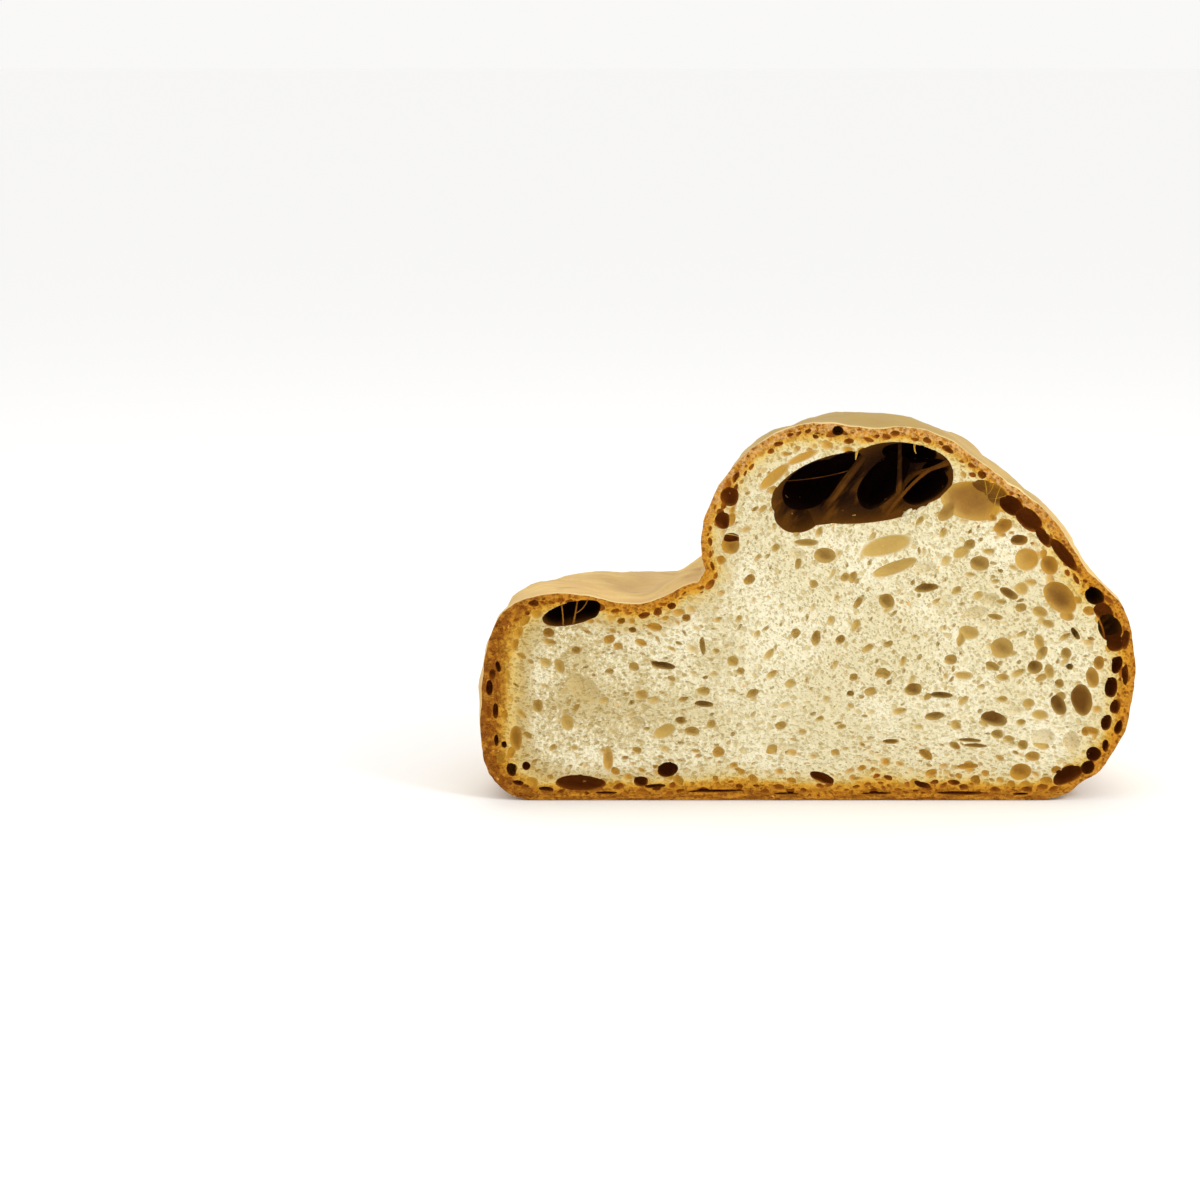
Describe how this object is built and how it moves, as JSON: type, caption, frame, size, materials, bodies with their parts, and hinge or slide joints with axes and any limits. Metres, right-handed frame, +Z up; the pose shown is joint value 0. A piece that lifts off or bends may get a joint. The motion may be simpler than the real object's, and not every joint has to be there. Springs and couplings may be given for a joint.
{
  "type": "sourdough loaf half",
  "caption": "Half of a round sourdough loaf with a folded crown, cut to show its open crumb and the hollow under the crust, resting on its flat base.",
  "frame": {"origin": "centre of the bounding box in plan, on the base the half rests on", "axes": "+X to the right across the cut face, +Y from the cut face into the loaf, +Z up"},
  "size_m": [0.2424, 0.118, 0.1407],
  "materials": {
    "baked_bread": "matte golden brown crust with a pale cream crumb on the cut face"
  },
  "bodies": {
    "root": {"half_loaf": "baked_bread"}
  },
  "joints": []
}
